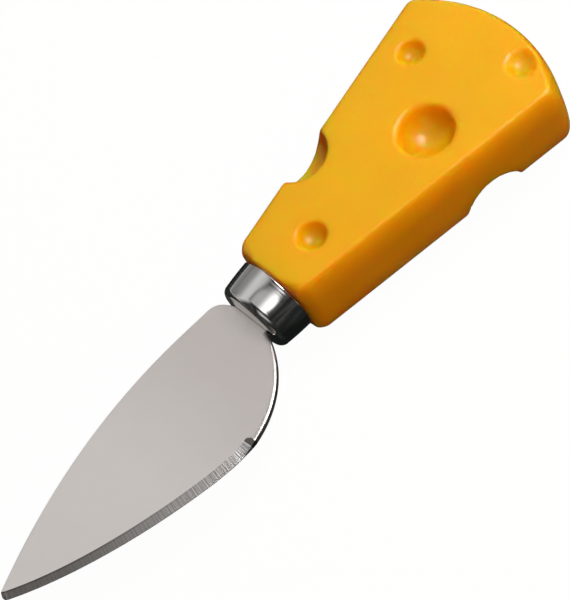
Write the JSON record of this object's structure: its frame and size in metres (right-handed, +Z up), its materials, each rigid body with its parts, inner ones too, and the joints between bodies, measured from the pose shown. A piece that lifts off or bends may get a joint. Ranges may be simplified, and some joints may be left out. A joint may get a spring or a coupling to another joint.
{
  "type": "cheese knife",
  "caption": "Small cheese knife with a spade-shaped blade, an oval metal ferrule and a moulded handle shaped like a wedge of holed cheese.",
  "frame": {"origin": "a point of the handle's flat underside, 27 mm from its front face, on the knife's middle line", "axes": "+X from the blade's tip towards the handle's far end, +Y towards the blade's spine, +Z up from the underside"},
  "size_m": [0.1412, 0.0384, 0.016],
  "materials": {
    "handle": "satin gloss",
    "ferrule": "polished",
    "blade": "satin",
    "tang_adhesive": "matt"
  },
  "bodies": {
    "root": {"handle": "handle", "ferrule": "ferrule", "blade": "blade", "tang_adhesive": "tang_adhesive"}
  },
  "joints": []
}
